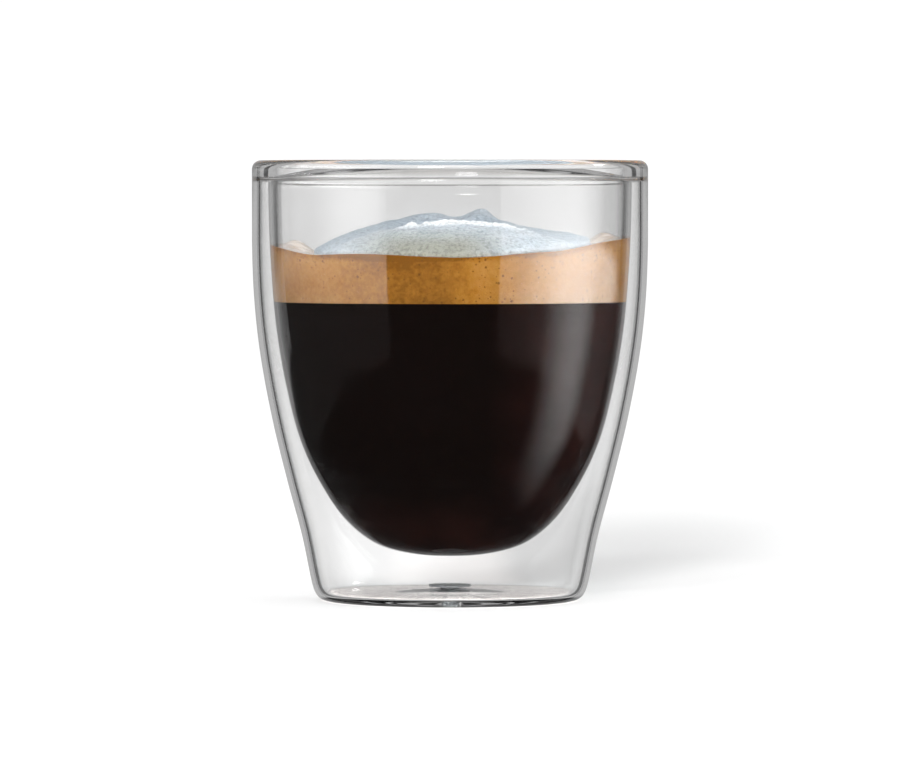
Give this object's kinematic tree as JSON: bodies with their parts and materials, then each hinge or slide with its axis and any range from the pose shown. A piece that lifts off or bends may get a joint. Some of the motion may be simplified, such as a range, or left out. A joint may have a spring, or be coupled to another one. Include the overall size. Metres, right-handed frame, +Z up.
{
  "type": "double espresso in a double-walled glass",
  "caption": "Double espresso with a thick crema and a mound of milk foam, in a clear double-walled glass with a rounded bowl and a narrow foot.",
  "frame": {"origin": "centre of the foot, on the plane that the glass stands on", "axes": "+Z up along the glass's axis, -Y towards the side seen first, +X to its right"},
  "size_m": [0.063, 0.063, 0.07],
  "materials": {
    "glass": "clear blown borosilicate, fire polished",
    "vent_seal": "clear silicone",
    "coffee": "black coffee, wet",
    "crema": "fine golden brown froth",
    "milk_foam": "white milk foam with small bubbles"
  },
  "bodies": {
    "root": {"glass": "glass", "vent_seal": "vent_seal", "coffee": "coffee", "crema": "crema", "milk_foam": "milk_foam"}
  },
  "joints": []
}
